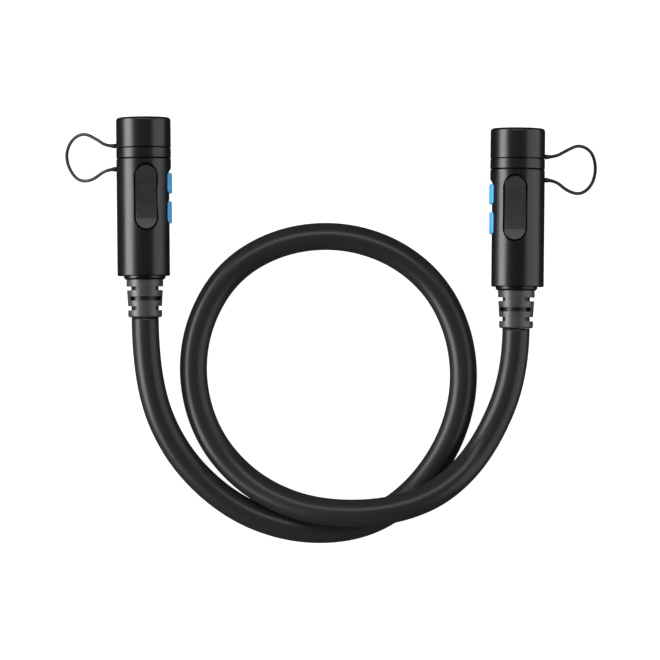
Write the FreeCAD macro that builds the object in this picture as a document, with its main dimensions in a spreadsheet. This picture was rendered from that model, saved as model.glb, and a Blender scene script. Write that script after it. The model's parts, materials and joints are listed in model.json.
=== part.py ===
import FreeCAD, Part
import math
import os

import Sketcher
from FreeCAD import Placement, Rotation, Vector

# A short power lead: a thick round cable in one loop between two identical round locking plugs.
# It lies on the plane Z = 0. Each plug has its own frame: +Y runs forward, out of the nose,
# +X points at the flat with the two small push pads, and Z is the line of the two latch buttons.
# Y = 0 of a plug is the front face of its body shell.

doc = FreeCAD.newDocument("power_lead")
sheet = doc.addObject("Spreadsheet::Sheet", "sizes")

DRIVING_SIZES = [
    # body shell
    ("shell_radius", 16.0), ("shell_length", 68.7), ("shell_wall", 2.2), ("end_wall", 4.0),
    ("edge_break", 0.5), ("flat_depth", 1.8), ("flat_setback", 8.0), ("flat_ramp", 2.6),
    # latch buttons
    ("opening_length", 37.4), ("opening_width", 12.8), ("opening_setback", 22.8),
    ("bevel_depth", 2.8), ("bevel_spread", 2.25), ("bevel_inset", 1.0), ("button_gap", 0.3),
    ("crown_drop", 0.3), ("dish_radius", 95.0), ("dish_drop", 2.4), ("rib_count", 20), ("rib_pitch", 1.25),
    ("rib_radius", 0.42), ("rib_margin", 0.6), ("flange_overlap", 0.9), ("flange_thickness", 1.1),
    ("latch_travel", 1.6), ("arm_clearance", 0.2), ("arm_width", 6.0), ("arm_thickness", 1.3),
    ("hook_reach", 11.8),
    ("hook_length", 3.4), ("hook_rise", 0.5),
    # push pads on the flat
    ("front_pad_setback", 14.5), ("front_pad_length", 11.9), ("front_pad_proud", 0.5),
    ("rear_pad_setback", 31.6), ("rear_pad_length", 12.8), ("rear_pad_proud", 0.3),
    ("pad_height", 18.2), ("pad_corner", 2.0), ("pad_gap", 0.25), ("pad_rim", 0.9),
    ("pad_rim_height", 13.0), ("pad_round", 0.8),
    # collar and nose
    ("seam", 0.3), ("collar_length", 5.85), ("nose_inset", 3.5), ("nose_wall", 1.8),
    ("nose_reach", 20.2), ("root_depth", 2.4), ("mouth_depth", 5.7), ("fit_gap", 0.05),
    ("slot_gap", 0.7), ("key_width", 2.0), ("key_height", 0.8),
    ("seal_section", 1.8), ("seal_proud", 0.81), ("seal_centre", 15.6),
    # contacts and leads
    ("carrier_root", 3.0), ("power_pitch", 8.8), ("power_radius", 3.0),
    ("power_bore", 2.0), ("power_bore_depth", 12.0), ("power_tail", 8.0), ("power_lead_radius", 2.5),
    ("signal_pitch", 4.8), ("signal_radius", 0.9), ("signal_lead_radius", 0.75),
    # spring frame inside the body
    ("frame_front", 9.0), ("frame_rear", 46.0), ("frame_half_width", 7.9), ("frame_half_height", 4.6),
    ("frame_wall", 0.8), ("latch_spring_radius", 2.4), ("latch_wire_radius", 0.3),
    ("latch_spring_turns", 5), ("pad_spring_span", 9.0), ("pad_spring_width", 5.0),
    ("pad_spring_thickness", 0.3),
    # dust cap
    ("cap_length", 17.6), ("cap_wall", 2.3), ("cap_end_wall", 2.4), ("cap_round", 1.8),
    ("cap_seal_thickness", 1.0), ("tether_radius", 0.95),
    ("boss_radius", 1.0), ("boss_length", 1.4), ("tether_run", 4.5), ("cap_boss_lift", 1.0),
    ("anchor_setback", 6.1),
    # cable gland, strain relief and clamp
    ("cable_radius", 8.0), ("cable_gap", 0.15), ("spigot_radius", 10.0), ("gland_radius", 12.2),
    ("gland_length", 2.2), ("gland_chamfer", 1.0), ("boot_flange_radius", 10.75), ("boot_flange_length", 4.0),
    ("boot_notch", 2.2), ("boot_mid_length", 9.3), ("boot_mid_radius", 10.5),
    ("boot_tail_radius", 9.95), ("boot_second_notch", 2.4), ("boot_tail_length", 4.2),
    ("boot_round", 1.2), ("boot_slot_setback", 3.6), ("boot_slot", 2.5), ("boot_slot_width", 18.0),
    ("boot_bridge", 5.6), ("spine_width", 11.4),
    ("jacket_setback", 50.0), ("clamp_setback", 53.0), ("clamp_length", 9.0), ("clamp_grip", 0.1),
    ("screw_pitch", 19.2), ("screw_radius", 1.25), ("screw_head_radius", 1.9), ("screw_length", 14.0),
    ("screw_head_height", 1.2),
    # where the two plugs lie
    ("plug_half_spacing", 109.6), ("left_front_y", 37.3), ("right_front_y", 30.9),
    ("roll_angle", 7.9), ("toe_out_angle", 0.56),
]

for row, (alias, value) in enumerate(DRIVING_SIZES, start=1):
    sheet.set(f"A{row}", alias)
    sheet.set(f"B{row}", str(value))
    sheet.setAlias(f"B{row}", alias)
doc.recompute()

# Places that several pieces share, written in the sheet's names.
FLAT = "(sizes.shell_radius - sizes.flat_depth)"
NOSE_RADIUS = "(sizes.shell_radius - sizes.nose_inset)"
BORE = "(sizes.shell_radius - sizes.shell_wall)"
INNER_FLAT = f"({FLAT} - sizes.shell_wall)"
BODY_REAR = "(-sizes.shell_length)"
CAVITY_REAR = "(sizes.end_wall - sizes.shell_length)"
GLAND_REAR = "(-sizes.shell_length - sizes.gland_length)"
NOTCH_FRONT = f"({GLAND_REAR} - sizes.boot_flange_length)"
MID_FRONT = f"({NOTCH_FRONT} - sizes.boot_notch)"
MID_REAR = f"({MID_FRONT} - sizes.boot_mid_length)"
TAIL_FRONT = f"({MID_REAR} - sizes.boot_second_notch)"
BOOT_REAR = f"({TAIL_FRONT} - sizes.boot_tail_length)"
CABLE_BORE = "(sizes.cable_radius + sizes.cable_gap)"
CAP_REAR = "(sizes.collar_length + 2 * sizes.seam)"
CAP_FRONT = f"({CAP_REAR} + sizes.cap_length)"
MOUTH_RADIUS = f"({NOSE_RADIUS} - sizes.nose_wall)"
CARRIER_FRONT = "(sizes.nose_reach - sizes.mouth_depth)"
FLANGE_HALF_WIDTH = "(sizes.opening_width / 2 + sizes.flange_overlap)"
FLANGE_TOP = f"(sqrt({BORE} * {BORE} - {FLANGE_HALF_WIDTH} * {FLANGE_HALF_WIDTH}) - sizes.button_gap)"
FLANGE_BOTTOM = f"({FLANGE_TOP} - sizes.flange_thickness)"
ARM_BOTTOM = f"({FLANGE_TOP} - sizes.arm_thickness)"
CARRIER_FLAT = f"({ARM_BOTTOM} - sizes.latch_travel - sizes.arm_clearance)"
OPENING_REAR = "(-sizes.opening_setback - sizes.opening_length / 2)"
PAD_FLANGE_INNER = f"({INNER_FLAT} - sizes.button_gap - sizes.flange_thickness)"

ABOUT_X = Rotation(Vector(1, 0, 0), -90)   # turns a primitive's own +Z onto +Y
ABOUT_Y = Rotation(Vector(0, 1, 0), 90)    # turns a primitive's own +Z onto +X
UNTURNED = Rotation()


def size(expression):
    """The value of an expression in the sheet's names."""
    return float(sheet.evalExpression(expression))


def bind(item, settings):
    """Tie properties to expressions."""
    for path, expression in settings.items():
        item.setExpression(path, str(expression))
    return item


def place(item, x, y, z, rotation=UNTURNED):
    """Put a primitive at a bound position."""
    item.Placement = Placement(Vector(0, 0, 0), rotation)
    return bind(item, {
        "Placement.Base.x": x,
        "Placement.Base.y": y,
        "Placement.Base.z": z,
    })


def box(name, low, high):
    """A box between two corners, each a triple of expressions."""
    item = doc.addObject("Part::Box", name)
    bind(item, {
        "Length": f"({high[0]}) - ({low[0]})",
        "Width": f"({high[1]}) - ({low[1]})",
        "Height": f"({high[2]}) - ({low[2]})",
    })
    return place(item, *low)


def rod(name, radius, length, start, rotation=ABOUT_X):
    """A cylinder along the turned axis, from its start point."""
    item = doc.addObject("Part::Cylinder", name)
    bind(item, {"Radius": radius, "Height": length})
    return place(item, *start, rotation)


def taper(name, first_radius, last_radius, length, start, rotation=ABOUT_X):
    """A cone along the turned axis, from its start point."""
    item = doc.addObject("Part::Cone", name)
    bind(item, {"Radius1": first_radius, "Radius2": last_radius, "Height": length})
    return place(item, *start, rotation)


def fuse(name, pieces):
    item = doc.addObject("Part::MultiFuse", name)
    item.Shapes = pieces
    item.Refine = True
    return item


def cut(name, base, tools):
    item = doc.addObject("Part::Cut", name)
    item.Base = base
    item.Tool = tools[0] if len(tools) == 1 else fuse(f"{name}_tools", tools)
    item.Refine = True
    return item


def common(name, base, tool):
    item = doc.addObject("Part::Common", name)
    item.Base = base
    item.Tool = tool
    return item


def new_sketch(body, name, role):
    """An empty sketch on one of the body's own origin planes."""
    sketch = body.newObject("Sketcher::SketchObject", name)
    plane = [item for item in body.Origin.OriginFeatures if item.Role == role][0]
    sketch.AttachmentSupport = (plane, [""])
    sketch.MapMode = "FlatFace"
    return sketch


def turned(name, outline):
    """A body turned about Y from an outline of (radius, Y) expressions."""
    body = doc.addObject("PartDesign::Body", name)
    sketch = new_sketch(body, f"{name}_outline", "XY_Plane")
    corners = [Vector(size(x), size(y), 0) for x, y in outline]
    for start, end in zip(corners, corners[1:] + corners[:1]):
        sketch.addGeometry(Part.LineSegment(start, end), False)
    for index in range(len(corners)):
        following = (index + 1) % len(corners)
        sketch.addConstraint(Sketcher.Constraint("Coincident", index, 2, following, 1))
    for index, (x, y) in enumerate(outline):
        for kind, axis, expression in (("DistanceX", "x", x), ("DistanceY", "y", y)):
            value = corners[index].x if axis == "x" else corners[index].y
            number = sketch.addConstraint(Sketcher.Constraint(kind, -1, 1, index, 1, value))
            label = f"{axis}{index}"
            sketch.renameConstraint(number, label)
            sketch.setExpression(f"Constraints.{label}", expression)
    revolve = body.newObject("PartDesign::Revolution", f"{name}_turn")
    revolve.Profile = sketch
    revolve.ReferenceAxis = (sketch, ["V_Axis"])
    revolve.Angle = 360
    doc.recompute()
    return body


def rounded(body, name, radius, y):
    """Round the body's outermost circular edge at a station along Y."""
    base = body.Tip
    at_station = []
    for index, edge in enumerate(base.Shape.Edges, start=1):
        flat = edge.BoundBox.YLength < 1e-6
        if flat and abs(edge.BoundBox.YMin - size(y)) < 1e-6:
            at_station.append((edge.BoundBox.XMax, f"Edge{index}"))
    fillet = body.newObject("PartDesign::Fillet", name)
    fillet.Base = (base, [max(at_station)[1]])
    fillet.setExpression("Radius", radius)
    doc.recompute()
    return body


def stadium(name, centre, straight, radius, bottom, height):
    """A stadium prism along Z, its long side along Y, from two rods and a box."""
    x, y = centre
    low_y = f"({y}) - ({straight}) / 2"
    high_y = f"({y}) + ({straight}) / 2"
    front = rod(f"{name}_front", radius, height, (x, high_y, bottom), UNTURNED)
    rear = rod(f"{name}_rear", radius, height, (x, low_y, bottom), UNTURNED)
    middle = box(f"{name}_middle", (f"({x}) - ({radius})", low_y, bottom),
                 (f"({x}) + ({radius})", high_y, f"({bottom}) + ({height})"))
    return fuse(name, [front, rear, middle])


def softened(name, base, radius, edges):
    """Round the numbered edges of a piece."""
    item = doc.addObject("Part::Fillet", name)
    item.Base = base
    item.Edges = [(index, size(radius), size(radius)) for index in edges]
    doc.recompute()
    return item


def side_slab(name, centre_y, length, height, corner, start_x):
    """A slab along +X, as long as the shell's radius, with round corners in its Y-Z outline."""
    low = (start_x, f"({centre_y}) - ({length}) / 2", f"-({height}) / 2")
    high = (f"({start_x}) + sizes.shell_radius", f"({centre_y}) + ({length}) / 2", f"({height}) / 2")
    slab = box(f"{name}_slab", low, high)
    doc.recompute()
    along_x = [index for index, edge in enumerate(slab.Shape.Edges, start=1)
               if edge.BoundBox.XLength > size("sizes.shell_radius") - 1e-6]
    return softened(name, slab, corner, along_x)


def settled(name, source):
    """A bound primitive as a piece that takes the plug's placement."""
    item = doc.addObject("Part::Refine", name)
    item.Source = source
    return item


def computed(name, shape):
    """An object whose shape comes from Part's own functions."""
    item = doc.addObject("Part::Feature", name)
    item.Shape = shape
    return item


def mirror_z(name, source):
    """The same piece on the other side of the plug's XY plane."""
    item = doc.addObject("Part::Mirroring", name)
    item.Source = source
    item.Base = Vector(0, 0, 0)
    item.Normal = Vector(0, 0, 1)
    return item


# The pieces of one plug. Each function takes the node's name and returns its finished object.

def opening_cutter(name):
    """The latch opening and its bevelled rim, through the shell's +Z side."""
    bottom = f"{BORE} / 2"
    radius = "sizes.opening_width / 2"
    straight = "(sizes.opening_length - sizes.opening_width)"
    hole = stadium(f"{name}_hole", ("0", "-sizes.opening_setback"), straight, radius,
                   bottom, "sizes.shell_radius")
    rim_bottom = "sizes.shell_radius - sizes.bevel_depth"
    rim_straight = f"({straight} - 2 * sizes.bevel_inset)"
    ends = []
    for label, sign in (("front", "+"), ("rear", "-")):
        centre = f"-sizes.opening_setback {sign} {rim_straight} / 2"
        ends.append(taper(f"{name}_rim_{label}", radius, f"{radius} + sizes.bevel_spread",
                          "sizes.bevel_depth", ("0", centre, rim_bottom), UNTURNED))
    wedge = doc.addObject("Part::Wedge", f"{name}_rim_middle")
    bind(wedge, {
        "Xmin": f"-{radius}", "Xmax": radius,
        "X2min": f"-{radius} - sizes.bevel_spread", "X2max": f"{radius} + sizes.bevel_spread",
        "Ymin": "0", "Ymax": "sizes.bevel_depth",
        "Zmin": f"-{rim_straight} / 2", "Zmax": f"{rim_straight} / 2",
        "Z2min": f"-{rim_straight} / 2", "Z2max": f"{rim_straight} / 2",
    })
    upright = Rotation(Vector(1, 0, 0), 90)
    place(wedge, "0", "-sizes.opening_setback", rim_bottom, upright)
    return fuse(name, [hole, *ends, wedge])


def body_shell(name):
    outer = turned(f"{name}_outer", [
        ("0", "0"),
        ("sizes.shell_radius - sizes.edge_break", "0"),
        ("sizes.shell_radius", "-sizes.edge_break"),
        ("sizes.shell_radius", f"{BODY_REAR} + sizes.edge_break"),
        ("sizes.shell_radius - sizes.edge_break", BODY_REAR),
        ("0", BODY_REAR),
    ])
    flat = box(f"{name}_flat", (FLAT, f"{BODY_REAR} - 1", "-sizes.shell_radius"),
               (f"{FLAT} + 2 * sizes.flat_depth", "-sizes.flat_setback", "sizes.shell_radius"))
    ramp = doc.addObject("Part::Wedge", f"{name}_ramp")
    bind(ramp, {
        "Xmin": "0", "Xmax": "2 * sizes.flat_depth",
        "X2min": "sizes.flat_depth", "X2max": "2 * sizes.flat_depth",
        "Ymin": "0", "Ymax": "sizes.flat_ramp",
        "Zmin": "-sizes.shell_radius", "Zmax": "sizes.shell_radius",
        "Z2min": "-sizes.shell_radius", "Z2max": "sizes.shell_radius",
    })
    place(ramp, FLAT, "-sizes.flat_setback", "0")
    cavity_round = rod(f"{name}_cavity_round", BORE, f"1 - {CAVITY_REAR}", ("0", CAVITY_REAR, "0"))
    behind_flat = box(f"{name}_behind_flat", (INNER_FLAT, BODY_REAR, "-sizes.shell_radius"),
                      ("sizes.shell_radius", "-sizes.root_depth - sizes.seam", "sizes.shell_radius"))
    cavity = cut(f"{name}_cavity", cavity_round, [behind_flat])
    gland_hole = rod(f"{name}_gland_hole", "sizes.spigot_radius + sizes.fit_gap",
                     "sizes.end_wall + 2", ("0", f"{BODY_REAR} - 1", "0"))
    upper = opening_cutter(f"{name}_opening")
    lower = mirror_z(f"{name}_opening_lower", opening_cutter(f"{name}_opening_source"))
    pads = []
    for station in ("front", "rear"):
        pads.append(side_slab(
            f"{name}_{station}_pad_hole", f"-sizes.{station}_pad_setback",
            f"sizes.{station}_pad_length + 2 * sizes.pad_gap", "sizes.pad_height + 2 * sizes.pad_gap",
            "sizes.pad_corner + sizes.pad_gap", f"{PAD_FLANGE_INNER} - 1"))
    return cut(name, outer, [flat, ramp, cavity, gland_hole, upper, lower, *pads])


def latch_button(name, upward):
    """A ribbed, dished thumb button with its arm and hook, moving along Z."""
    plan_radius = "(sizes.opening_width / 2 - sizes.button_gap)"
    straight = "(sizes.opening_length - sizes.opening_width)"
    prism = stadium(f"{name}_prism", ("0", "-sizes.opening_setback"), straight, plan_radius,
                    FLANGE_BOTTOM, f"sizes.shell_radius - {FLANGE_BOTTOM}")
    dish_floor = "(sizes.shell_radius - sizes.dish_drop)"
    dish_axis = f"({dish_floor} + sizes.dish_radius)"
    dish = rod(f"{name}_dish", "sizes.dish_radius", "2 * sizes.opening_width",
               ("-sizes.opening_width", "-sizes.opening_setback", dish_axis), ABOUT_Y)
    dished = cut(f"{name}_dished", prism, [dish])
    ribs = []
    rib_length = f"(2 * {plan_radius} - 2 * sizes.rib_margin)"
    for index in range(round(size("sizes.rib_count"))):
        step = f"({index} + 0.5 - sizes.rib_count / 2)"
        along = f"({step} * sizes.rib_pitch)"
        rise = f"({dish_axis} - sqrt(sizes.dish_radius * sizes.dish_radius - {along} * {along}))"
        start = (f"-{rib_length} / 2", f"-sizes.opening_setback + {along}", rise)
        ribs.append(rod(f"{name}_rib_{index}", "sizes.rib_radius", rib_length, start, ABOUT_Y))
    ribbed = fuse(f"{name}_ribbed", [dished, *ribs])
    crown = rod(f"{name}_crown", "sizes.shell_radius - sizes.crown_drop", "sizes.shell_length",
                ("0", BODY_REAR, "0"))
    pad = common(f"{name}_pad", ribbed, crown)
    flange_front = "-sizes.root_depth - 2 * sizes.seam"
    flange = box(f"{name}_flange",
                 (f"-{FLANGE_HALF_WIDTH}", f"{OPENING_REAR} - sizes.flange_overlap", FLANGE_BOTTOM),
                 (FLANGE_HALF_WIDTH, flange_front, FLANGE_TOP))
    arm = box(f"{name}_arm", ("-sizes.arm_width / 2", f"{flange_front} - 1", ARM_BOTTOM),
              ("sizes.arm_width / 2", "sizes.hook_reach", FLANGE_TOP))
    hook = doc.addObject("Part::Wedge", f"{name}_hook")
    hook_top = f"{NOSE_RADIUS} + sizes.hook_rise - {ARM_BOTTOM}"
    bind(hook, {
        "Xmin": "0", "Xmax": hook_top, "X2min": "0", "X2max": "sizes.arm_thickness",
        "Ymin": "0", "Ymax": "sizes.hook_length",
        "Zmin": "-sizes.arm_width / 2", "Zmax": "sizes.arm_width / 2",
        "Z2min": "-sizes.arm_width / 2", "Z2max": "sizes.arm_width / 2",
    })
    on_edge = Rotation(Vector(0, 1, 0), -90)
    place(hook, "0", "sizes.hook_reach - sizes.hook_length", ARM_BOTTOM, on_edge)
    whole = fuse(f"{name}_up" if not upward else name, [pad, flange, arm, hook])
    return whole if upward else mirror_z(name, whole)


def spring(name, radius, wire, turns, length, start, rotation):
    """A round-wire compression spring along the turned axis."""
    coil_radius = size(radius) - size(wire)
    rise = size(length) - 2 * size(wire)
    helix = Part.makeHelix(rise / size(turns), rise, coil_radius)
    circle = Part.Circle(Vector(coil_radius, 0, 0), Vector(0, 1, 0), size(wire))
    profile = Part.Wire([circle.toShape()])
    coil = Part.Wire(helix).makePipeShell([profile], True, True)
    item = computed(name, coil)
    lift = rotation.multVec(Vector(0, 0, size(wire)))
    item.Placement = Placement(Vector(*[size(value) for value in start]) + lift, rotation)
    return item


def latch_spring(name, upward):
    length = f"{FLANGE_BOTTOM} - sizes.frame_half_height"
    rotation = UNTURNED if upward else Rotation(Vector(1, 0, 0), 180)
    bottom = "sizes.frame_half_height" if upward else "-sizes.frame_half_height"
    return spring(name, "sizes.latch_spring_radius", "sizes.latch_wire_radius",
                  "sizes.latch_spring_turns", length, ("0", "-sizes.opening_setback", bottom), rotation)


def push_pad(name, station):
    """A push pad across the flat, crowned with the shell and held in by a flange front and rear."""
    setback = f"-sizes.{station}_pad_setback"
    length = f"sizes.{station}_pad_length"
    radius = f"sizes.shell_radius + sizes.{station}_pad_proud"
    outline = side_slab(f"{name}_outline", setback, length, "sizes.pad_height", "sizes.pad_corner",
                        PAD_FLANGE_INNER)
    round_bar = rod(f"{name}_round_bar", radius, "sizes.shell_length", ("0", BODY_REAR, "0"))
    stem = common(f"{name}_stem", outline, round_bar)
    doc.recompute()
    crowned = [face for face in stem.Shape.Faces if hasattr(face.Surface, "Radius")
               and abs(face.Surface.Radius - size(radius)) < 1e-6][0]
    rim = [index for index, edge in enumerate(stem.Shape.Edges, start=1)
           if any(edge.isSame(other) for other in crowned.Edges)]
    soft = softened(f"{name}_rounded", stem, "sizes.pad_round", rim)
    half_length = f"({length} / 2 + sizes.pad_rim)"
    flange = box(f"{name}_flange",
                 (PAD_FLANGE_INNER, f"{setback} - {half_length}", "-sizes.pad_rim_height / 2"),
                 (f"{PAD_FLANGE_INNER} + sizes.flange_thickness", f"{setback} + {half_length}",
                  "sizes.pad_rim_height / 2"))
    return fuse(name, [soft, flange])


def pad_spring(name, station):
    """A bowed strip: its two ends stand on the frame and its middle carries the pad's flange."""
    rise = f"({PAD_FLANGE_INNER} - sizes.frame_half_width)"
    half_span = "(sizes.pad_spring_span / 2)"
    radius = f"(({half_span} * {half_span} + {rise} * {rise}) / (2 * {rise}))"
    centre = (f"{PAD_FLANGE_INNER} - {radius}", f"-sizes.{station}_pad_setback",
              "-sizes.pad_spring_width / 2")
    outer = rod(f"{name}_outer", radius, "sizes.pad_spring_width", centre, UNTURNED)
    inner = rod(f"{name}_inner", f"{radius} - sizes.pad_spring_thickness", "sizes.pad_spring_width",
                centre, UNTURNED)
    above = box(f"{name}_above",
                ("sizes.frame_half_width", f"{centre[1]} - sizes.shell_radius", "-sizes.shell_radius"),
                ("sizes.shell_radius", f"{centre[1]} + sizes.shell_radius", "sizes.shell_radius"))
    return common(name, cut(f"{name}_ring", outer, [inner]), above)


def front_collar(name):
    bore = f"{NOSE_RADIUS} + sizes.fit_gap"
    front = "sizes.seam + sizes.collar_length"
    return turned(name, [
        (bore, "sizes.seam"),
        ("sizes.shell_radius - sizes.edge_break / 2", "sizes.seam"),
        ("sizes.shell_radius", "sizes.seam + sizes.edge_break / 2"),
        ("sizes.shell_radius", f"{front} - sizes.edge_break / 2"),
        ("sizes.shell_radius - sizes.edge_break / 2", front),
        (bore, front),
    ])


def nose_shell(name):
    """The nose tube, its root flange, the seal groove, the key and the two hook slots."""
    groove_floor = f"{NOSE_RADIUS} + sizes.seal_proud - sizes.seal_section - sizes.fit_gap"
    groove_rear = "sizes.seal_centre - sizes.seal_section / 2 - sizes.fit_gap"
    groove_front = "sizes.seal_centre + sizes.seal_section / 2 + sizes.fit_gap"
    tube = turned(f"{name}_tube", [
        (MOUTH_RADIUS, "-sizes.root_depth"),
        (f"{BORE} - sizes.fit_gap", "-sizes.root_depth"),
        (f"{BORE} - sizes.fit_gap", "0"),
        (NOSE_RADIUS, "0"),
        (NOSE_RADIUS, groove_rear),
        (groove_floor, groove_rear),
        (groove_floor, groove_front),
        (NOSE_RADIUS, groove_front),
        (NOSE_RADIUS, "sizes.nose_reach - sizes.edge_break"),
        (f"{NOSE_RADIUS} - sizes.edge_break", "sizes.nose_reach"),
        (MOUTH_RADIUS, "sizes.nose_reach"),
    ])
    key = box(f"{name}_key", (f"{MOUTH_RADIUS} - sizes.key_height", CARRIER_FRONT,
                              "-sizes.key_width / 2"),
              (f"{MOUTH_RADIUS} + sizes.nose_wall / 2", "sizes.nose_reach - sizes.edge_break",
               "sizes.key_width / 2"))
    keyed = fuse(f"{name}_keyed", [tube, key])
    half = "(sizes.arm_width / 2 + sizes.slot_gap)"
    slot_end = "sizes.hook_reach + sizes.slot_gap"
    slots = []
    for label, low, high in (("upper", CARRIER_FLAT, "sizes.shell_radius"),
                             ("lower", "-sizes.shell_radius", f"-{CARRIER_FLAT}")):
        slots.append(box(f"{name}_{label}_slot", (f"-{half}", "-sizes.root_depth - 1", low),
                         (half, slot_end, high)))
    return cut(name, keyed, slots)


def contact_places(pitch, across):
    """Two places side by side, along X for power contacts and Z for signal contacts."""
    for label, sign in (("one", "-"), ("two", "")):
        offset = f"{sign}sizes.{pitch} / 2"
        yield label, (offset, "0") if across == "x" else ("0", offset)


def contact_carrier(name):
    plug = rod(f"{name}_round", f"{MOUTH_RADIUS} - sizes.fit_gap",
               f"{CARRIER_FRONT} + sizes.carrier_root", ("0", "-sizes.carrier_root", "0"))
    tools = []
    for label, low, high in (("upper", CARRIER_FLAT, "sizes.shell_radius"),
                             ("lower", "-sizes.shell_radius", f"-{CARRIER_FLAT}")):
        tools.append(box(f"{name}_{label}_flat", ("-sizes.shell_radius", "-sizes.carrier_root - 1", low),
                         ("sizes.shell_radius", "sizes.hook_reach + sizes.slot_gap", high)))
    for kind, pitch, radius, across in (("power", "power_pitch", "power_radius", "x"),
                                        ("signal", "signal_pitch", "signal_radius", "z")):
        for label, (x, z) in contact_places(pitch, across):
            tools.append(rod(f"{name}_{kind}_{label}", f"sizes.{radius} + sizes.fit_gap",
                             "sizes.shell_length", (x, "-sizes.shell_length / 2", z)))
    return cut(name, plug, tools)


def power_contacts(name):
    """Two round socket contacts, closed behind their bores."""
    sockets = []
    length = f"{CARRIER_FRONT} + sizes.power_tail"
    for label, (x, z) in contact_places("power_pitch", "x"):
        barrel = rod(f"{name}_{label}_barrel", "sizes.power_radius", length,
                     (x, "-sizes.power_tail", z))
        bore = rod(f"{name}_{label}_bore", "sizes.power_bore", "sizes.power_bore_depth + 1",
                   (x, f"{CARRIER_FRONT} - sizes.power_bore_depth", z))
        sockets.append(cut(f"{name}_{label}", barrel, [bore]))
    return fuse(name, sockets)


def signal_contacts(name):
    pins = []
    for label, (x, z) in contact_places("signal_pitch", "z"):
        pins.append(rod(f"{name}_{label}", "sizes.signal_radius", f"{CARRIER_FRONT} + sizes.power_tail",
                        (x, "-sizes.power_tail", z)))
    return fuse(name, pins)


def leads(name, kind, across):
    """The insulated wires from the contacts' tails to the end of the cable jacket."""
    wires = []
    for label, (x, z) in contact_places(f"{kind}_pitch", across):
        wires.append(rod(f"{name}_{label}", f"sizes.{kind}_lead_radius",
                         "sizes.jacket_setback - sizes.power_tail", (x, "-sizes.jacket_setback", z)))
    return fuse(name, wires)


def spring_frame(name):
    """A rectangular sleeve round the wires, which the springs push against."""
    outer = box(f"{name}_outer", ("-sizes.frame_half_width", "-sizes.frame_rear", "-sizes.frame_half_height"),
                ("sizes.frame_half_width", "-sizes.frame_front", "sizes.frame_half_height"))
    inner_x = "(sizes.frame_half_width - sizes.frame_wall)"
    inner_z = "(sizes.frame_half_height - sizes.frame_wall)"
    inner = box(f"{name}_inner", (f"-{inner_x}", "-sizes.frame_rear - 1", f"-{inner_z}"),
                (inner_x, "1 - sizes.frame_front", inner_z))
    return cut(name, outer, [inner])


def ring_seal(name):
    """The round-section ring in the nose's groove."""
    ring = doc.addObject("Part::Torus", f"{name}_ring")
    bind(ring, {
        "Radius1": f"{NOSE_RADIUS} + sizes.seal_proud - sizes.seal_section / 2",
        "Radius2": "sizes.seal_section / 2",
    })
    return settled(name, place(ring, "0", "sizes.seal_centre", "0", ABOUT_X))


def dust_cap(name):
    inner = "(sizes.shell_radius - sizes.cap_wall)"
    cup = turned(f"{name}_cup", [
        (inner, CAP_REAR),
        ("sizes.shell_radius - sizes.edge_break / 2", CAP_REAR),
        ("sizes.shell_radius", f"{CAP_REAR} + sizes.edge_break / 2"),
        ("sizes.shell_radius", CAP_FRONT),
        ("0", CAP_FRONT),
        ("0", f"{CAP_FRONT} - sizes.cap_end_wall"),
        (inner, f"{CAP_FRONT} - sizes.cap_end_wall"),
    ])
    rounded(cup, f"{name}_round", "sizes.cap_round", CAP_FRONT)
    boss = rod(f"{name}_boss", "sizes.boss_radius", "sizes.boss_length + sizes.cap_wall / 2",
               ("-sizes.shell_radius - sizes.boss_length", f"{CAP_REAR} + sizes.cap_boss_lift", "0"), ABOUT_Y)
    return fuse(name, [cup, boss])


def cap_seal(name):
    front = f"{CAP_FRONT} - sizes.cap_end_wall"
    disc = rod(f"{name}_disc", "sizes.shell_radius - sizes.cap_wall - sizes.seam",
               "sizes.cap_seal_thickness", ("0", f"{front} - sizes.cap_seal_thickness", "0"))
    return settled(name, disc)


def tether_anchor(name):
    """The small boss on the shell that holds the tether's fixed end."""
    boss = rod(f"{name}_boss", "sizes.boss_radius", "sizes.boss_length + 1",
               ("-sizes.shell_radius - sizes.boss_length", "-sizes.anchor_setback", "0"), ABOUT_Y)
    core = rod(f"{name}_core", "sizes.shell_radius", "sizes.shell_length", ("0", BODY_REAR, "0"))
    return cut(name, boss, [core])


def gland_ring(name):
    bore = CABLE_BORE
    return turned(name, [
        (bore, CAVITY_REAR),
        ("sizes.spigot_radius", CAVITY_REAR),
        ("sizes.spigot_radius", BODY_REAR),
        ("sizes.gland_radius", BODY_REAR),
        ("sizes.gland_radius", f"{GLAND_REAR} + sizes.gland_chamfer"),
        ("sizes.gland_radius - sizes.gland_chamfer", GLAND_REAR),
        (bore, GLAND_REAR),
    ])


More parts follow.
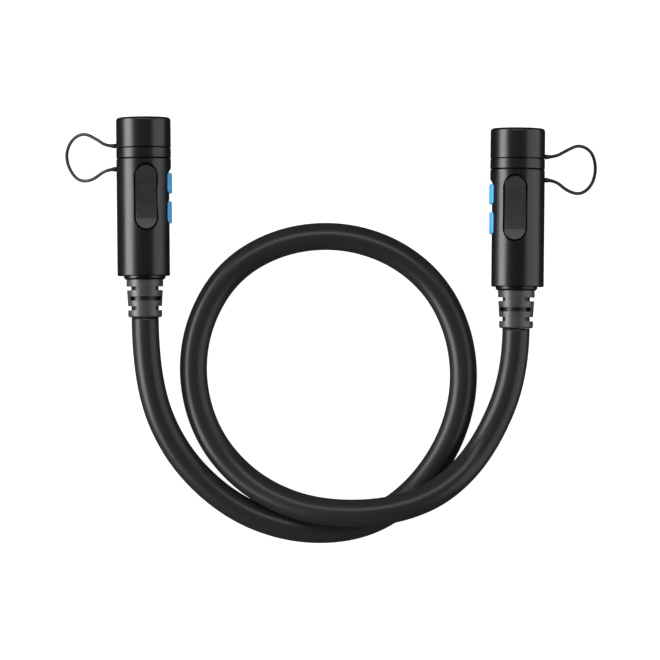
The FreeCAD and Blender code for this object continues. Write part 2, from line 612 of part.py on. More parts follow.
def strain_relief_boot(name):
    """The flexible boot: side notches, then a slot above and below, then side notches again."""
    sleeve = turned(f"{name}_sleeve", [
        (CABLE_BORE, GLAND_REAR),
        ("sizes.boot_flange_radius", GLAND_REAR),
        ("sizes.boot_flange_radius", NOTCH_FRONT),
        ("sizes.boot_mid_radius", MID_FRONT),
        ("sizes.boot_tail_radius", MID_REAR),
        ("sizes.boot_tail_radius", BOOT_REAR),
        (CABLE_BORE, BOOT_REAR),
    ])
    rounded(sleeve, f"{name}_round", "sizes.boot_round", BOOT_REAR)
    tools = []
    reach = "sizes.shell_radius"
    for label, rear, front in (("first", MID_FRONT, NOTCH_FRONT), ("second", TAIL_FRONT, MID_REAR)):
        for side, low, high in (("left", f"-{reach}", "-sizes.spine_width / 2"),
                                ("right", "sizes.spine_width / 2", reach)):
            tools.append(box(f"{name}_{label}_{side}", (low, rear, f"-{reach}"), (high, front, reach)))
    slot_front = f"{MID_FRONT} - sizes.boot_slot_setback"
    for label, low, high in (("upper", "sizes.boot_bridge / 2", reach),
                             ("lower", f"-{reach}", "-sizes.boot_bridge / 2")):
        tools.append(box(f"{name}_{label}_slot",
                         ("-sizes.boot_slot_width / 2", f"{slot_front} - sizes.boot_slot", low),
                         ("sizes.boot_slot_width / 2", slot_front, high)))
    return cut(name, sleeve, tools)


def cable_end(name):
    """The straight end of the cable's jacket, from inside the body to the boot's mouth."""
    jacket = rod(f"{name}_jacket", "sizes.cable_radius", f"-sizes.jacket_setback - {BOOT_REAR}",
                 ("0", BOOT_REAR, "0"))
    return settled(name, jacket)


def clamp_screw(name, sign, extra):
    """A cheese-head clamp screw, or with extra radius the hole that it sits in."""
    x = f"{sign}sizes.screw_pitch / 2"
    y = "-sizes.clamp_setback - sizes.clamp_length / 2"
    shank = rod(f"{name}_shank", f"sizes.screw_radius + {extra}", "sizes.screw_length",
                (x, y, "-sizes.screw_length / 2"), UNTURNED)
    head = rod(f"{name}_head", f"sizes.screw_head_radius + {extra}", f"sizes.screw_head_height + {extra}",
               (x, y, f"sizes.screw_length / 2 - sizes.screw_head_height"), UNTURNED)
    return fuse(name, [shank, head])


def cable_clamp(name):
    rear = "-sizes.clamp_setback - sizes.clamp_length"
    ring = rod(f"{name}_ring", f"{BORE} - 2 * sizes.seam", "sizes.clamp_length", ("0", rear, "0"))
    bore = rod(f"{name}_bore", "sizes.cable_radius - sizes.clamp_grip", "sizes.clamp_length + 2",
               ("0", f"{rear} - 1", "0"))
    flat = box(f"{name}_flat", (f"{INNER_FLAT} - sizes.seam", f"{rear} - 1", "-sizes.shell_radius"),
               ("sizes.shell_radius", "0", "sizes.shell_radius"))
    holes = [clamp_screw(f"{name}_hole_{label}", sign, "sizes.fit_gap")
             for label, sign in (("one", "-"), ("two", ""))]
    over_heads = []
    for label, sign in (("one", "-"), ("two", "")):
        over_heads.append(rod(f"{name}_over_{label}", "sizes.screw_head_radius + sizes.fit_gap",
                              "sizes.shell_radius",
                              (f"{sign}sizes.screw_pitch / 2",
                               "-sizes.clamp_setback - sizes.clamp_length / 2",
                               "sizes.screw_length / 2"), UNTURNED))
    return cut(name, ring, [bore, flat, *holes, *over_heads])


def clamp_screws(name):
    return fuse(name, [clamp_screw(f"{name}_one", "-", "0"), clamp_screw(f"{name}_two", "", "0")])


# Cords. A route is a list of hand-chosen points between two ends on the plugs; the tube
# follows its straight runs and rounds every corner with an arc that the two runs allow.

CABLE_ROUTE = [
    (-108.34, -92.0, 16.0), (-92.5, -134.5, 8.6), (-61.0, -166.0, 8.0),
    (-23.5, -181.0, 8.0), (16.0, -180.0, 8.0), (46.0, -163.0, 8.0), (68.5, -134.0, 8.0),
    (79.0, -101.0, 8.0), (77.0, -68.0, 8.0), (63.0, -37.5, 8.0), (37.0, -16.0, 8.0),
    (3.5, -6.5, 8.0), (-31.5, -11.0, 8.0), (-61.0, -29.0, 8.0), (-78.5, -60.0, 8.0),
    (-82.0, -93.5, 8.0), (-72.5, -126.0, 8.0), (-51.0, -151.5, 9.2), (-22.5, -166.5, 16.6),
    (8.0, -171.0, 23.5), (40.5, -168.0, 26.5), (68.0, -156.0, 22.5), (91.0, -131.0, 13.0),
    (108.42, -89.5, 16.0),
]

TETHER_ROUTES = {
    "left": [
        (-137.0, 48.6, 16.2), (-145.0, 52.8, 9.6), (-152.4, 49.6, 4.6), (-156.4, 41.4, 1.0),
        (-154.8, 32.4, 1.0), (-148.8, 24.6, 4.2), (-140.2, 24.6, 10.0),
    ],
    "right": [
        (137.8, 41.8, 15.8), (146.2, 46.0, 9.0), (154.2, 42.2, 4.4), (157.0, 32.4, 1.0),
        (154.6, 22.4, 1.0), (147.6, 16.6, 4.6), (139.2, 18.4, 10.6),
    ],
}

CORNER_SHARE = 0.45   # how much of the shorter run a corner's arc may take


def rounded_path(points):
    """Straight runs joined by tangent arcs; also the smallest arc radius."""
    vectors = [Vector(*point) for point in points]
    edges = []
    radii = []
    start = vectors[0]
    for before, corner, after in zip(vectors, vectors[1:], vectors[2:]):
        back = (before - corner).normalize()
        ahead = (after - corner).normalize()
        turn = math.pi - back.getAngle(ahead)
        trim = CORNER_SHARE * min((before - corner).Length, (after - corner).Length)
        radius = trim / math.tan(turn / 2)
        bisector = (back + ahead).normalize()
        middle = corner + bisector * (radius / math.cos(turn / 2) - radius)
        arc_start = corner + back * trim
        arc_end = corner + ahead * trim
        edges.append(Part.LineSegment(start, arc_start).toShape())
        edges.append(Part.Arc(arc_start, middle, arc_end).toShape())
        radii.append(radius)
        start = arc_end
    edges.append(Part.LineSegment(start, vectors[-1]).toShape())
    return Part.Wire(edges), radii


def cord(name, points, radius):
    """A round cord along its route, checked against its section times its length."""
    path, radii = rounded_path(points)
    direction = (Vector(*points[1]) - Vector(*points[0])).normalize()
    circle = Part.Circle(Vector(*points[0]), direction, radius)
    shape = path.makePipeShell([Part.Wire([circle.toShape()])], True, False)
    expected = math.pi * radius ** 2 * path.Length
    print(f"{name}: length {path.Length:.1f} mm, diameter {2 * radius:.1f} mm")
    print(f"  volume / (section x length) = {shape.Volume / expected:.4f}")
    print("  arc radii: " + ", ".join(f"{value:.0f}" for value in radii))
    if abs(shape.Volume / expected - 1) > 0.01:
        raise ValueError(f"{name}: the tube's volume does not match its length")
    return computed(name, shape)


def plug_placement(side):
    """Where a plug lies: rolled towards its flat, toed out a little, resting on the ground."""
    half = size("sizes.plug_half_spacing")
    roll = size("sizes.roll_angle")
    toe = size("sizes.toe_out_angle")
    height = size("sizes.shell_radius")
    if side == "left":
        turn = Rotation(Vector(0, 0, 1), toe) * Rotation(Vector(0, 1, 0), roll)
        return Placement(Vector(-half, size("sizes.left_front_y"), height), turn)
    turn = Rotation(Vector(0, 0, 1), -toe) * Rotation(Vector(0, 1, 0), 180 - roll)
    return Placement(Vector(half, size("sizes.right_front_y"), height), turn)


def on_plug(side, x, y):
    """A point in the plug's own middle plane, in the shared frame."""
    return plug_placement(side).multVec(Vector(size(x), size(y), 0))


def cable_points():
    """The cable's route between the two boots' mouths."""
    return [on_plug("left", "0", BOOT_REAR), *CABLE_ROUTE, on_plug("right", "0", BOOT_REAR)]


def tether_points(side):
    """The tether's route, with a straight run out of each of its two bosses."""
    tip = "(-sizes.shell_radius - sizes.boss_length)"
    run_end = f"{tip} - sizes.tether_run"
    on_cap = f"{CAP_REAR} + sizes.cap_boss_lift"
    on_body = "-sizes.anchor_setback"
    return [on_plug(side, tip, on_cap), on_plug(side, run_end, on_cap), *TETHER_ROUTES[side],
            on_plug(side, run_end, on_body), on_plug(side, tip, on_body)]


def plug_pieces(side):
    """Every piece of one plug. The right plug lies with its other latch button up."""
    faces_up = {"upper": side == "left", "lower": side != "left"}
    pieces = [
        body_shell(f"body_shell_{side}"),
        front_collar(f"front_collar_{side}"),
        nose_shell(f"nose_shell_{side}"),
        contact_carrier(f"contact_carrier_{side}"),
        power_contacts(f"power_contacts_{side}"),
        signal_contacts(f"signal_contacts_{side}"),
        ring_seal(f"nose_seal_{side}"),
        spring_frame(f"spring_frame_{side}"),
        leads(f"power_leads_{side}", "power", "x"),
        leads(f"signal_leads_{side}", "signal", "z"),
        dust_cap(f"dust_cap_{side}"),
        cap_seal(f"cap_seal_{side}"),
        tether_anchor(f"tether_anchor_{side}"),
        gland_ring(f"gland_ring_{side}"),
        strain_relief_boot(f"strain_relief_boot_{side}"),
        cable_end(f"cable_end_{side}"),
        cable_clamp(f"cable_clamp_{side}"),
        clamp_screws(f"clamp_screws_{side}"),
    ]
    for position, upward in faces_up.items():
        pieces.append(latch_button(f"latch_button_{position}_{side}", upward))
        pieces.append(latch_spring(f"latch_spring_{position}_{side}", upward))
    for station in ("front", "rear"):
        pieces.append(push_pad(f"push_pad_{station}_{side}", station))
        pieces.append(pad_spring(f"pad_spring_{station}_{side}", station))
    return pieces


nodes = []
for side in ("left", "right"):
    where = plug_placement(side)
    for piece in plug_pieces(side):
        piece.Placement = where * piece.Placement
        nodes.append(piece)
    nodes.append(cord(f"cap_tether_{side}", tether_points(side), size("sizes.tether_radius")))
nodes.append(cord("cable", cable_points(), size("sizes.cable_radius")))

doc.recompute()
for item in doc.Objects:
    if "Invalid" in item.State or "Error" in item.State:
        raise RuntimeError(f"{item.Name} did not rebuild: {item.State}")

os.makedirs("parts", exist_ok=True)
for node in nodes:
    if node.Shape.isNull() or not node.Shape.isValid():
        raise RuntimeError(f"{node.Label} has no valid shape")
    node.Shape.exportStep(f"parts/{node.Label}.step")
print(f"{len(nodes)} nodes")
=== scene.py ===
# %% [markdown]
# # A looped power lead with two capped plugs
#
# The real object is a short, thick power lead: about 0.9 m of black rubbery cable, laid in one
# loop, with an identical round locking plug on each end. This lesson dresses the finished
# mechanical model of that lead. The plugs' hard parts come in ready-made and get materials;
# the cable and the soft cap straps are built here, because they are flexible.

# %% Load the fixed frame
import json
import math

import bpy
import numpy as np
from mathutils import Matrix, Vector


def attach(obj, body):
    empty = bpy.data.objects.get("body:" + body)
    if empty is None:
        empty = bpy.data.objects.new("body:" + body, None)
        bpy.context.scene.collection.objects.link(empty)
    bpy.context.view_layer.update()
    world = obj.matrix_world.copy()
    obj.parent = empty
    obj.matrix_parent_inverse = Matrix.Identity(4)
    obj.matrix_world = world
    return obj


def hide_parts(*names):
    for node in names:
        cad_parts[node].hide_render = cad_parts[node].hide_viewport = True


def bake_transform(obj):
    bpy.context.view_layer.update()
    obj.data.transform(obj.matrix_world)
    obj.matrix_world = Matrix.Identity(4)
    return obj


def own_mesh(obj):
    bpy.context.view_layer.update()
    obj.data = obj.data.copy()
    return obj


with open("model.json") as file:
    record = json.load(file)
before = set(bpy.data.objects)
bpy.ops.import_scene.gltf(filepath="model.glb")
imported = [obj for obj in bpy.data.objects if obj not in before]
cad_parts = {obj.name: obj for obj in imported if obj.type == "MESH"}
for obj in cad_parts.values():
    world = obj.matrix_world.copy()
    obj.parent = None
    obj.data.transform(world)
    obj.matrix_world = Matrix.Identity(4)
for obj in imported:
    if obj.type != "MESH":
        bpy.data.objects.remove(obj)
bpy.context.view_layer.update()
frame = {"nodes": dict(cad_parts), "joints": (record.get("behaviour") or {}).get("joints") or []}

MM = 0.001
SIDES = ("left", "right")

# %% [markdown]
# ## The camera
#
# The lead is seen from straight above, from far enough away that the round plugs show almost no
# perspective. A long lens 2 m above the surface does that. The aim point is the middle of the
# whole object, a little below the plugs, and the camera's own upward direction is +Y.

# %% Put the camera straight above
CAMERA_HEIGHT = 2.0
CAMERA_AIM = (-0.35 * MM, -63.1 * MM)
SENSOR_WIDTH = 36.0
FOCAL_LENGTH = 184.6

camera_data = bpy.data.cameras.new("camera")
camera_data.sensor_width = SENSOR_WIDTH
camera_data.lens = FOCAL_LENGTH
camera = bpy.data.objects.new("camera", camera_data)
camera.location = (*CAMERA_AIM, CAMERA_HEIGHT)
bpy.context.scene.collection.objects.link(camera)
bpy.context.scene.camera = camera
print("width of the view at the surface in mm:",
      round(CAMERA_HEIGHT / MM * SENSOR_WIDTH / FOCAL_LENGTH, 1))

# %% [markdown]
# ## Tubes along a smooth line
#
# A cable is a circle carried along a curve. Its line is a NURBS curve, which stays smooth through
# every bend. The curve is evaluated once to get closely spaced points, and the skin is then a
# grid of two parameters: the distance along the line and the angle round it. The frame that
# carries the circle must not twist, so each ring's side vector is the last one made square to
# the new direction again.

# %% Read a smooth line from a NURBS curve


def smooth_line(name, control_points_mm, resolution=24):
    """Points along a quadratic NURBS curve through its control polygon, in metres."""
    curve = bpy.data.curves.new(name, "CURVE")
    curve.dimensions = "3D"
    curve.resolution_u = resolution
    spline = curve.splines.new("NURBS")
    spline.points.add(len(control_points_mm) - 1)
    for point, place in zip(spline.points, control_points_mm):
        point.co = (*[value * MM for value in place], 1.0)
    spline.order_u = 3
    spline.use_endpoint_u = True
    holder = bpy.data.objects.new(name, curve)
    bpy.context.scene.collection.objects.link(holder)
    mesh = bpy.data.meshes.new_from_object(holder)
    line = np.empty(len(mesh.vertices) * 3)
    mesh.vertices.foreach_get("co", line)
    bpy.data.objects.remove(holder)
    bpy.data.meshes.remove(mesh)
    return line.reshape(-1, 3)


def evenly_spaced(line, step):
    """The same line with points a fixed distance apart."""
    travelled = np.concatenate([[0.0], np.cumsum(np.linalg.norm(np.diff(line, axis=0), axis=1))])
    count = max(2, int(round(travelled[-1] / step)) + 1)
    stations = np.linspace(0.0, travelled[-1], count)
    return np.stack([np.interp(stations, travelled, line[:, axis]) for axis in range(3)], axis=1)


# %% Carry a circle along a line


def carried_frames(line):
    """Tangent and two side vectors at each point, turned as little as the line allows."""
    tangents = np.gradient(line, axis=0)
    tangents /= np.linalg.norm(tangents, axis=1, keepdims=True)
    first = np.cross(tangents[0], [0.0, 0.0, 1.0])
    side = first / np.linalg.norm(first)
    sides = np.empty_like(line)
    for index, tangent in enumerate(tangents):
        side = side - tangent * (side @ tangent)
        side /= np.linalg.norm(side)
        sides[index] = side
    return tangents, sides, np.cross(tangents, sides)


def grid_mesh(name, grid, closed_round, caps=True):
    """A mesh from a grid of points, rows along and columns round, with its ends closed.

    Faces join each point to its neighbours in the next row and column. The UV map holds the
    column's share round and the row's real distance along, in metres.
    """
    rows, columns = grid.shape[:2]
    vertices = grid.reshape(-1, 3)
    row = np.arange(rows - 1)[:, None]
    column = np.arange(columns if closed_round else columns - 1)[None, :]
    following = (column + 1) % columns
    quads = np.stack([row * columns + column, row * columns + following,
                      (row + 1) * columns + following, (row + 1) * columns + column], axis=-1)
    faces = quads.reshape(-1, 4).tolist()
    if caps:
        faces.append(list(range(columns - 1, -1, -1)))
        faces.append(list(range((rows - 1) * columns, rows * columns)))
    mesh = bpy.data.meshes.new(name)
    mesh.from_pydata(vertices.tolist(), [], faces)
    middle = grid.mean(axis=1)
    along = np.concatenate([[0.0], np.cumsum(np.linalg.norm(np.diff(middle, axis=0), axis=1))])
    share = np.linspace(0.0, 1.0, columns, endpoint=not closed_round)
    uv_grid = np.stack(np.broadcast_arrays(share[None, :], along[:, None]), axis=-1).reshape(-1, 2)
    loop_vertices = np.empty(len(mesh.loops), int)
    mesh.loops.foreach_get("vertex_index", loop_vertices)
    uv_layer = mesh.uv_layers.new(name="surface")
    uv_layer.data.foreach_set("uv", uv_grid[loop_vertices].ravel())
    mesh.polygons.foreach_set("use_smooth", [len(face) == 4 for face in faces])
    mesh.update()
    thing = bpy.data.objects.new(name, mesh)
    bpy.context.scene.collection.objects.link(thing)
    return thing


def tube(name, line, radius, sides=48):
    """A closed round tube: centre + radius * (cos a * side + sin a * other side).

    The radius is one number or one for each point of the line.
    """
    _, side, other = carried_frames(line)
    angle = np.linspace(0.0, 2 * math.pi, sides, endpoint=False)
    radius = np.broadcast_to(np.asarray(radius, float), len(line))[:, None, None]
    cosine = np.cos(angle)[None, :, None]
    sine = np.sin(angle)[None, :, None]
    circle = side[:, None, :] * cosine + other[:, None, :] * sine
    return grid_mesh(name, line[:, None, :] + radius * circle, closed_round=True)


# %% [markdown]
# ## The cable
#
# The cable leaves the left plug, falls to the surface, goes once round under itself and rises over
# its own first turn before it reaches the right plug. These are the same control points as in the
# mechanical model, in millimetres. A rising stretch has a long, low hump, because a cable this
# thick can't bend sharply.

# %% Lay the cable
CABLE_DIAMETER = 16.0 * MM
CABLE_STEP = 2.0 * MM
CABLE_ROUTE = [
    (-108.7, -55.7, 16.0), (-108.34, -92.0, 16.0), (-92.5, -134.5, 8.6), (-61.0, -166.0, 8.0),
    (-23.5, -181.0, 8.0), (16.0, -180.0, 8.0), (46.0, -163.0, 8.0), (68.5, -134.0, 8.0),
    (79.0, -101.0, 8.0), (77.0, -68.0, 8.0), (63.0, -37.5, 8.0), (37.0, -16.0, 8.0),
    (3.5, -6.5, 8.0), (-31.5, -11.0, 8.0), (-61.0, -29.0, 8.0), (-78.5, -60.0, 8.0),
    (-82.0, -93.5, 8.0), (-72.5, -126.0, 8.0), (-51.0, -151.5, 9.2), (-22.5, -166.5, 16.6),
    (8.0, -171.0, 23.5), (40.5, -168.0, 26.5), (68.0, -156.0, 22.5), (91.0, -131.0, 13.0),
    (108.42, -89.5, 16.0), (108.7, -62.1, 16.0),
]

cable_line = evenly_spaced(smooth_line("cable_line", CABLE_ROUTE), CABLE_STEP)
cable = tube("power_cable", cable_line, CABLE_DIAMETER / 2, sides=64)
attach(cable, "lead")
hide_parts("cable")

# %% [markdown]
# ## The cap straps
#
# A thin rubber strap ties each dust cap to its plug. It is soft, so it leaves the plug sideways and
# droops until its outer curve rests on the surface. At both ends it swells into a small fillet, as
# a moulded strap does where it meets a thick wall. When the cap is pulled off, one end goes with
# the cap and the other stays; here the strap is laid in place once and is tied to neither body.

# %% Lay the cap straps
STRAP_DIAMETER = 1.9 * MM
STRAP_STEP = 0.7 * MM
ROOT_FLARE = 0.45 * MM
ROOT_REACH = 2.2 * MM
STRAP_ROUTES = {
    "left": [
        (-125.6, 44.59, 18.2), (-131.4, 44.54, 19.01), (-137.0, 48.6, 16.2), (-145.0, 52.8, 9.6),
        (-152.4, 49.6, 4.6), (-156.4, 41.4, 1.0), (-154.8, 32.4, 1.0), (-148.8, 24.6, 4.2),
        (-140.2, 24.6, 10.0), (-131.3, 30.99, 19.01), (-125.5, 31.04, 18.2),
    ],
    "right": [
        (125.6, 38.19, 18.2), (131.4, 38.14, 19.01), (137.8, 41.8, 15.8), (146.2, 46.0, 9.0),
        (154.2, 42.2, 4.4), (157.0, 32.4, 1.0), (154.6, 22.4, 1.0), (147.6, 16.6, 4.6),
        (139.2, 18.4, 10.6), (131.3, 24.59, 19.01), (125.5, 24.64, 18.2),
    ],
}


def flared_radius(line, radius, flare, reach):
    """radius + flare / (1 + (distance / reach) ** 4), measured from both ends of the line."""
    travelled = np.concatenate([[0.0], np.cumsum(np.linalg.norm(np.diff(line, axis=0), axis=1))])
    from_end = np.minimum(travelled, travelled[-1] - travelled)
    return radius + flare / (1 + (from_end / reach) ** 4)


straps = {}
for side in SIDES:
    line = evenly_spaced(smooth_line(f"strap_line_{side}", STRAP_ROUTES[side]), STRAP_STEP)
    radius = flared_radius(line, STRAP_DIAMETER / 2, ROOT_FLARE, ROOT_REACH)
    strap = tube(f"cap_strap_{side}", line, radius, sides=24)
    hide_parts(f"cap_tether_{side}")
    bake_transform(strap)
    straps[side] = strap

# %% [markdown]
# ## The springs
#
# Under each button and pad sits a small steel spring. The outer end goes in with the button while
# the inner end stays on its frame. Each spring here is a copy of the ready-made one, held by the
# lead; its inner end is found along the joint's axis, but the copy keeps its full height.

# %% Copy the springs
JOINTS = {joint["name"]: joint for joint in frame["joints"]}
springs = {}
for name, node in frame["nodes"].items():
    if "_spring_" in name:
        joint = JOINTS[name.replace("_spring_", "_press_")]
        inward = np.array(joint["axis"], float)
        spring = bpy.data.objects.new(f"soft_{name}", node.data.copy())
        spring.matrix_world = node.matrix_world.copy()
        bpy.context.scene.collection.objects.link(spring)
        places = np.array([node.matrix_world @ vertex.co for vertex in node.data.vertices])
        depth = places @ inward
        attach(spring, "lead")
        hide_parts(name)
        inner_end = tuple(places[depth.argmax()])
        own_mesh(spring)
        springs[name] = spring

# %% [markdown]
# ## Mixing materials
#
# Every material starts from a real one, so two small helpers are enough: one turns a colour from
# the usual hex notation into the linear numbers that the shader works in, and one adds a node
# with its settings and links.

# %% Helpers for colours and nodes


def linear(hex_colour):
    """sRGB hex to linear RGBA: c / 12.92 below 0.04045, else ((c + 0.055) / 1.055) ** 2.4."""
    channels = np.array([int(hex_colour[i:i + 2], 16) for i in (1, 3, 5)]) / 255.0
    low = channels / 12.92
    high = ((channels + 0.055) / 1.055) ** 2.4
    return (*np.where(channels <= 0.04045, low, high).tolist(), 1.0)


def add_node(tree, kind, settings=None, inputs=None, links=None):
    """Adds a node, sets its properties and socket values, and links sockets to other nodes."""
    node = tree.nodes.new(kind)
    for name, value in (settings or {}).items():
        setattr(node, name, value)
    for name, value in (inputs or {}).items():
        node.inputs[name].default_value = value
    for name, output in (links or {}).items():
        tree.links.new(output, node.inputs[name])
    return node


def grained(name, colour, worn_colour, roughness, grain_mm, relief_mm, mottle_mm=9.0, specular=0.5):
    """A moulded or extruded plastic or rubber, with a fine skin grain and slow changes of gloss.

    The grain is noise whose features are grain_mm across and relief_mm high. The tone and the
    roughness follow a second noise, mottle_mm across, as handling leaves them. On a colour Mix
    node, socket 0 is the factor, 6 and 7 are the two colours, and output 2 is the result.
    """
    material = bpy.data.materials.new(name)
    material.use_nodes = True
    tree = material.node_tree
    tree.nodes.clear()
    place = add_node(tree, "ShaderNodeTexCoord").outputs["Object"]
    grain = add_node(tree, "ShaderNodeTexNoise",
                     inputs={"Scale": 1.0 / (grain_mm * MM), "Detail": 2.0}, links={"Vector": place})
    mottle = add_node(tree, "ShaderNodeTexNoise",
                      inputs={"Scale": 1.0 / (mottle_mm * MM), "Detail": 3.0}, links={"Vector": place})
    tone = add_node(tree, "ShaderNodeMix", {"data_type": "RGBA"},
                    {6: linear(colour), 7: linear(worn_colour)}, {0: mottle.outputs["Fac"]})
    gloss = add_node(tree, "ShaderNodeMapRange",
                     inputs={"From Min": 0.3, "From Max": 0.7, "To Min": 0.95 * roughness,
                             "To Max": 1.05 * roughness}, links={"Value": mottle.outputs["Fac"]})
    bump = add_node(tree, "ShaderNodeBump", inputs={"Strength": 0.5, "Distance": relief_mm * MM},
                    links={"Height": grain.outputs["Fac"]})
    shader = add_node(tree, "ShaderNodeBsdfPrincipled", inputs={"Specular IOR Level": specular},
                      links={"Base Color": tone.outputs[2], "Roughness": gloss.outputs["Result"],
                             "Normal": bump.outputs["Normal"]})
    add_node(tree, "ShaderNodeOutputMaterial", links={"Surface": shader.outputs["BSDF"]})
    return material


# %% [markdown]
# ## The materials of this lead
#
# The body and collar are black nylon with a fine spark-eroded skin, which spreads highlights into
# soft bands. The cable jacket is smoother, flexible and slightly glossy. The boot, caps and straps
# are moulded rubber. The pads are the only colour: a sky-blue plastic with a satin gloss.

# %% Mix the materials
# body shell, collar and gland ring: black nylon with a fine eroded skin
shell_nylon = grained("moulded_black_nylon", "#050506", "#070708", 0.31, 0.35, 0.002, specular=0.45)
# caps and their anchors: a firm rubber that shines like the body
cap_rubber = grained("moulded_black_rubber", "#050506", "#070708", 0.31, 0.35, 0.002, specular=0.45)
# buttons: a rougher nylon, so that a thumb doesn't slip
button_nylon = grained("textured_black_nylon", "#1C1C1D", "#202021", 0.42, 0.35, 0.004)
# nose, contact carrier, clamp and spring frame: stiff glass-filled nylon, matt and dark grey
inner_nylon = grained("glass_filled_nylon", "#1C1C1E", "#242426", 0.5, 0.3, 0.01)
# strain-relief boot: a flexible rubber, a little greyer than the plug
boot_rubber = grained("moulded_boot_rubber", "#28282A", "#2C2C2D", 0.4, 0.4, 0.004, specular=0.6)
# cable: an extruded jacket, even along its length, with a soft sheen
jacket_rubber = grained("extruded_cable_jacket", "#1A1A1C", "#1C1C1E", 0.33, 0.5, 0.002,
                        mottle_mm=14.0, specular=0.26)
# cap straps: a thin soft rubber
strap_rubber = grained("moulded_strap_rubber", "#161617", "#191919", 0.45, 0.3, 0.003, specular=0.3)
# push pads: satin blue ABS
blue_plastic = grained("moulded_blue_abs", "#2E84B6", "#3288BA", 0.34, 0.3, 0.002)
# ring seals: dark grey silicone
seal_silicone = grained("dark_silicone", "#3A3A3C", "#444446", 0.45, 0.3, 0.004)
# wires inside the plug: red for power, grey for signal
red_insulation = grained("red_wire_insulation", "#A41410", "#B01A14", 0.4, 0.4, 0.005)
grey_insulation = grained("grey_wire_insulation", "#8C8C8C", "#969696", 0.4, 0.4, 0.005)


def drawn_metal(name, colour, roughness, line_mm):
    """A drawn or turned metal: fine lines line_mm apart, seen as small changes of roughness."""
    material = bpy.data.materials.new(name)
    material.use_nodes = True
    tree = material.node_tree
    tree.nodes.clear()
    place = add_node(tree, "ShaderNodeTexCoord").outputs["Object"]
    lines = add_node(tree, "ShaderNodeTexNoise",
                     inputs={"Scale": 1.0 / (line_mm * MM), "Detail": 4.0}, links={"Vector": place})
    gloss = add_node(tree, "ShaderNodeMapRange",
                     inputs={"To Min": roughness - 0.07, "To Max": roughness + 0.07},
                     links={"Value": lines.outputs["Fac"]})
    shader = add_node(tree, "ShaderNodeBsdfPrincipled",
                      inputs={"Base Color": linear(colour), "Metallic": 1.0},
                      links={"Roughness": gloss.outputs["Result"]})
    add_node(tree, "ShaderNodeOutputMaterial", links={"Surface": shader.outputs["BSDF"]})
    return material


# contacts: turned brass
contact_brass = drawn_metal("turned_contact_brass", "#D9B45F", 0.24, 0.4)
# springs and clamp screws: bright steel
spring_steel = drawn_metal("drawn_spring_steel", "#B8B8BA", 0.3, 0.3)

# %% [markdown]
# ## Dressing the hard parts
#
# Each ready-made part keeps its shape and only gets its real material. The names say what each
# part is, so one table of name beginnings is enough.

# %% Give every part its material
FINISHES = {
    "body_shell": shell_nylon, "front_collar": shell_nylon, "gland_ring": shell_nylon,
    "nose_shell": inner_nylon, "contact_carrier": inner_nylon, "cable_clamp": inner_nylon,
    "spring_frame": inner_nylon, "latch_button": button_nylon, "push_pad": blue_plastic,
    "dust_cap": cap_rubber, "tether_anchor": cap_rubber, "strain_relief_boot": boot_rubber,
    "cable": jacket_rubber, "cap_tether": strap_rubber, "nose_seal": seal_silicone,
    "cap_seal": seal_silicone, "power_contacts": contact_brass, "signal_contacts": contact_brass,
    "latch_spring": spring_steel, "pad_spring": spring_steel, "clamp_screws": spring_steel,
    "power_leads": red_insulation, "signal_leads": grey_insulation,
}


def finish_for(name):
    matches = [start for start in FINISHES if name.startswith(start)]
    return FINISHES[max(matches, key=len)]


def dress(thing, material):
    thing.data.materials.clear()
    thing.data.materials.append(material)


for name, node in frame["nodes"].items():
    dress(node, finish_for(name))
dress(cable, jacket_rubber)
for side in SIDES:
    dress(straps[side], strap_rubber)
for spring in springs.values():
    dress(spring, spring_steel)
print(len(frame["nodes"]), "parts dressed")

# %% [markdown]
# ## The table and the light
#
# The lead lies on a white acrylic light table: a smooth white sheet, lit from below, that
# curves up into a wall all round, so that there is no horizon behind the lead from any side. Black
# plastic shows its shape only by what it reflects, so the lights are large soft panels: a long
# bright one low on the left, which draws the sharp band down each plug, a wide, weak one on the
# right, a narrow one beyond the far edge for the cable's cross runs, and a faint one at the front.
# Straight above there is nothing, and that leaves the dark middle band. The sheet stays out of the
# reflections, as it does when the table beside an object is masked with black card.

# %% Build the table
TABLE_FLAT = 2.2
TABLE_BEND = 1.2
WALL_HEIGHT = 2.5
SHEET_GLOW = 0.93


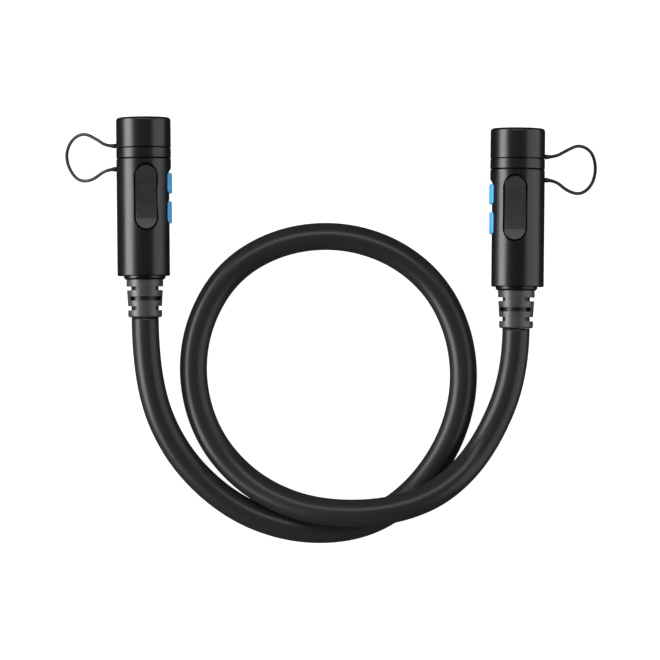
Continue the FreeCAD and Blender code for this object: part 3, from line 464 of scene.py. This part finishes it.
def table_surface(turns=128, steps=24):
    """A disc that turns up into a wall: flat out to TABLE_FLAT, then a quarter circle, then upright."""
    bend = np.linspace(0.0, math.pi / 2, steps)
    radius = np.concatenate([[1e-4], TABLE_FLAT + TABLE_BEND * np.sin(bend), [TABLE_FLAT + TABLE_BEND]])
    height = np.concatenate([[0.0], TABLE_BEND * (1 - np.cos(bend)), [WALL_HEIGHT]])
    angle = np.linspace(0.0, 2 * math.pi, turns, endpoint=False)
    return np.stack([radius[:, None] * np.cos(angle), radius[:, None] * np.sin(angle),
                     np.broadcast_to(height[:, None], (len(height), turns))], axis=-1)


table = grid_mesh("table", table_surface(), closed_round=True, caps=False)
table.visible_glossy = False
acrylic = bpy.data.materials.new("white_acrylic_sheet")
acrylic.use_nodes = True
acrylic_shader = acrylic.node_tree.nodes["Principled BSDF"]
acrylic_shader.inputs["Base Color"].default_value = linear("#909090")
acrylic_shader.inputs["Roughness"].default_value = 0.8
acrylic_shader.inputs["Emission Color"].default_value = linear("#FFFFFF")
acrylic_shader.inputs["Emission Strength"].default_value = SHEET_GLOW
dress(table, acrylic)

# %% Hang the light panels
TARGET = Vector((*CAMERA_AIM, 10.0 * MM))
ROOM_GLOW = 0.04


def light_panel(name, direction, distance, width, height, radiance):
    """A soft panel that far away in that direction, facing the middle of the lead.

    Its width is level and its height is square to that. Its power is pi * area * radiance.
    """
    direction = Vector(direction).normalized()
    data = bpy.data.lights.new(name, "AREA")
    data.shape = "RECTANGLE"
    data.size = width
    data.size_y = height
    data.energy = math.pi * width * height * radiance
    panel = bpy.data.objects.new(name, data)
    panel.location = TARGET + direction * distance
    panel.rotation_mode = "QUATERNION"
    panel.rotation_quaternion = direction.to_track_quat("Z", "Y")
    bpy.context.scene.collection.objects.link(panel)


light_panel("left_panel", (-0.918, 0.0, 0.397), 1.6, 2.2, 0.95, 9.0)
light_panel("right_panel", (0.94, 0.0, 0.342), 1.7, 2.2, 2.0, 1.8)
light_panel("far_panel", (0.0, 0.52, 0.854), 2.2, 2.0, 0.34, 8.5)
light_panel("front_panel", (0.0, -0.9, 0.43), 2.0, 1.6, 0.6, 0.2)

room = bpy.data.worlds.new("dim_room")
room.use_nodes = True
room.node_tree.nodes["Background"].inputs["Color"].default_value = (1.0, 1.0, 1.0, 1.0)
room.node_tree.nodes["Background"].inputs["Strength"].default_value = ROOM_GLOW
bpy.context.scene.world = room
bpy.context.scene.view_settings.view_transform = "Standard"
